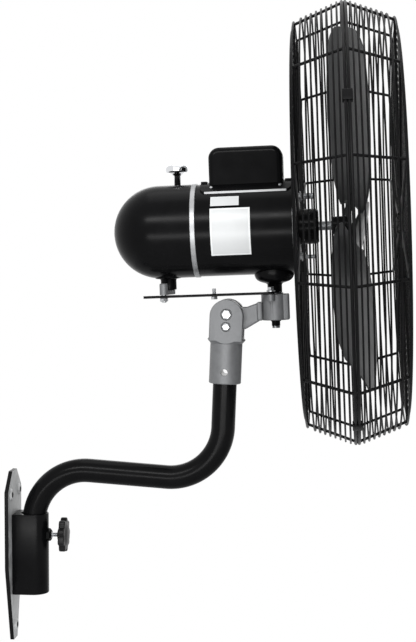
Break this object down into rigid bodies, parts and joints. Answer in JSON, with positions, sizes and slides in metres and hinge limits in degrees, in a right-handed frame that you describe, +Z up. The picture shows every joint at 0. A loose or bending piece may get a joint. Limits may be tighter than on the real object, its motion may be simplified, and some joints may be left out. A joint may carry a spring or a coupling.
{
  "type": "wall mounted fan",
  "caption": "Industrial wall fan: an oscillating caged head with wide blades on a bent steel arm, clamped in the socket of a wall plate.",
  "frame": {"origin": "centre of the wall plate's back face, on the wall", "axes": "+X away from the wall, the way the fan blows; +Y to the left seen from the wall; +Z up"},
  "size_m": [0.6344, 0.6854, 1.0123],
  "materials": {
    "plate_face": "dull zinc plated steel plate",
    "black_paint": "glossy black enamel",
    "black_wire": "black powder coated wire",
    "grey_casting": "satin cast aluminium",
    "zinc": "zinc plated steel",
    "machined_steel": "machined steel",
    "bronze": "machined bronze",
    "copper": "enamelled copper winding",
    "can": "plain aluminium can",
    "knob_plastic": "moulded black plastic",
    "chrome": "polished chrome",
    "blade": "grey painted steel sheet"
  },
  "bodies": {
    "bracket": {"wall_plate": "plate_face", "arm_socket": "black_paint", "socket_floor": "black_paint", "clamp_nut": "black_paint"},
    "clamp_stud": {"clamp_stud": "zinc"},
    "clamp_knob": {"clamp_knob": "knob_plastic"},
    "arm": {"arm_tube": "black_paint", "neck_casting": "grey_casting", "tilt_pivot_bolt": "zinc", "tilt_pivot_nut": "zinc", "tilt_lock_bolt": "zinc", "tilt_lock_nut": "zinc"},
    "tilt_arm": {"tilt_arm": "grey_casting", "king_bush": "bronze", "link_pivot_bolt": "zinc"},
    "head": {"thrust_washer": "machined_steel", "king_pin": "machined_steel", "king_pin_nut": "black_paint", "motor_saddle": "black_paint", "motor_shell": "black_paint", "motor_front_bell": "grey_casting", "motor_rear_plate": "machined_steel", "gear_case": "black_paint", "stator_core": "machined_steel", "winding_rear": "copper", "winding_front": "copper", "rear_bearing": "machined_steel", "front_bearing": "machined_steel", "bearing_housing": "black_paint", "capacitor_base": "black_paint", "capacitor_cover": "black_paint", "capacitor": "can", "cover_screw_1": "zinc", "cover_screw_2": "zinc", "rear_guard": "black_wire", "front_guard": "black_wire", "guard_bolt_1": "zinc", "guard_bolt_2": "zinc", "guard_bolt_3": "zinc", "guard_bolt_4": "zinc", "guard_clip_1": "black_wire", "guard_clip_2": "black_wire", "guard_clip_3": "black_wire", "guard_clip_4": "black_wire"},
    "rotor": {"motor_shaft": "machined_steel", "rotor_core": "machined_steel", "worm": "machined_steel", "fan_hub": "black_paint", "fan_blade_1": "blade", "fan_blade_2": "blade", "fan_blade_3": "blade"},
    "crank": {"crank_shaft": "machined_steel", "crank_gear": "bronze", "crank_arm": "grey_casting", "crank_pin": "zinc", "crank_nut": "zinc"},
    "link": {"link_bar": "black_paint", "link_bolt": "zinc"},
    "clutch": {"clutch_shaft": "machined_steel"},
    "pull_knob": {"osc_knob": "chrome"}
  },
  "joints": [
    {"name": "arm_swivel", "type": "hinge", "parent": "bracket", "child": "arm", "pos_m": [0.038, 0, 0], "axis": [0, 0, 1], "range_deg": [-30, 30]},
    {"name": "clamp_travel", "type": "slide", "parent": "bracket", "child": "clamp_stud", "axis": [1, 0, 0], "range_m": [0, 0.00375]},
    {"name": "clamp_turn", "type": "hinge", "parent": "clamp_stud", "child": "clamp_knob", "pos_m": [0.08, 0, 0.0295], "axis": [1, 0, 0], "range_deg": [0, 1080]},
    {"name": "tilt", "type": "hinge", "parent": "arm", "child": "tilt_arm", "pos_m": [0.3517, 0, 0.38842], "axis": [0, -1, 0], "range_deg": [-20, 20]},
    {"name": "oscillate", "type": "hinge", "parent": "tilt_arm", "child": "head", "pos_m": [0.42673, 0, 0.42022], "axis": [-0.0384, 0, 0.9993], "range_deg": [-45, 45]},
    {"name": "rotor_spin", "type": "hinge", "parent": "head", "child": "rotor", "pos_m": [0.42274, 0, 0.52415], "axis": [0.9993, 0, 0.0384], "continuous": true},
    {"name": "crank_turn", "type": "hinge", "parent": "head", "child": "crank", "pos_m": [0.25866, 0, 0.41377], "axis": [-0.0384, 0, 0.9993], "range_deg": [-46, 46]},
    {"name": "link_swing", "type": "hinge", "parent": "tilt_arm", "child": "link", "pos_m": [0.42154, -0.0246, 0.42002], "axis": [-0.0384, 0, 0.9993], "range_deg": [-46, 46]},
    {"name": "clutch_turn", "type": "hinge", "parent": "head", "child": "clutch", "pos_m": [0.27654, 0.02, 0.41445], "axis": [-0.0384, 0, 0.9993], "range_deg": [-113, 113]},
    {"name": "knob_lift", "type": "slide", "parent": "clutch", "child": "pull_knob", "axis": [-0.0384, 0, 0.9993], "range_m": [0, 0.008]}
  ],
  "couplings": [
    {"joint": "clamp_travel", "follows": "clamp_turn", "m_per_rad": 0.00019894},
    {"joint": "crank_turn", "follows": "oscillate", "ratio": -1},
    {"joint": "link_swing", "follows": "oscillate", "ratio": 1},
    {"joint": "clutch_turn", "follows": "oscillate", "ratio": 2.5}
  ]
}
